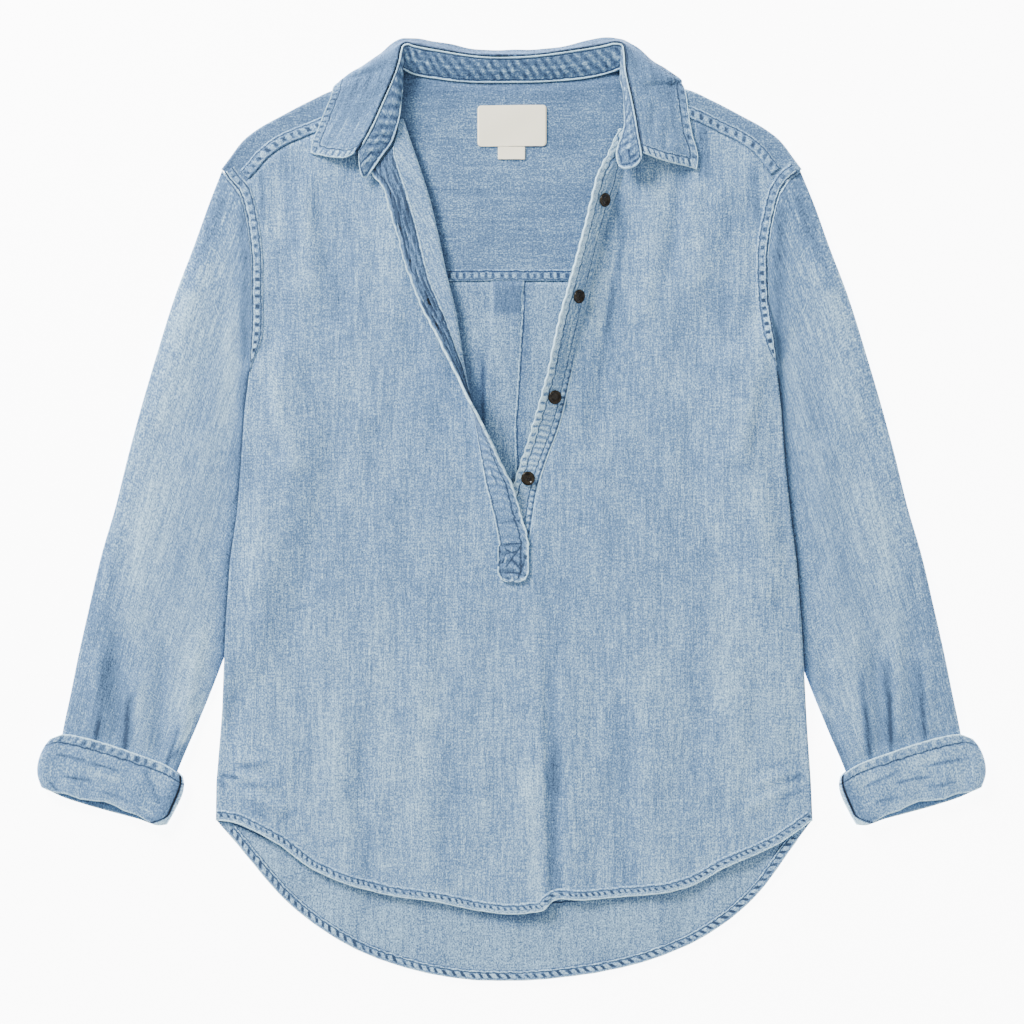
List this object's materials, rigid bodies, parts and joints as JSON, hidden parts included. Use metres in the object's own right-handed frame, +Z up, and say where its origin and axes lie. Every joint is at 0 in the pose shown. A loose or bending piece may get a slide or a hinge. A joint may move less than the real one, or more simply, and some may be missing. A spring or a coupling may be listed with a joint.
{
  "type": "denim popover shirt",
  "caption": "Light-wash denim popover shirt with turned-up sleeves, laid flat and face up, its neck open half way down.",
  "frame": {"origin": "centre of the bounding box's bottom face, on the surface the shirt lies on", "axes": "+Z up from the surface, +Y towards the collar, +X to the right as the front is looked at"},
  "size_m": [0.8066, 0.8028, 0.0265],
  "materials": {
    "denim": "matte light wash",
    "label": "matte",
    "horn": "gloss"
  },
  "bodies": {
    "root": {"back": "denim", "back_yoke": "denim", "front": "denim", "placket_left": "denim", "placket_right": "denim", "collar_stand": "denim", "collar_leaf": "denim", "sleeve_left": "denim", "sleeve_right": "denim", "cuff_left": "denim", "cuff_right": "denim", "button_1": "horn", "button_2": "horn", "button_3": "horn", "button_4": "horn", "label_main": "label", "label_size": "label"}
  },
  "joints": []
}
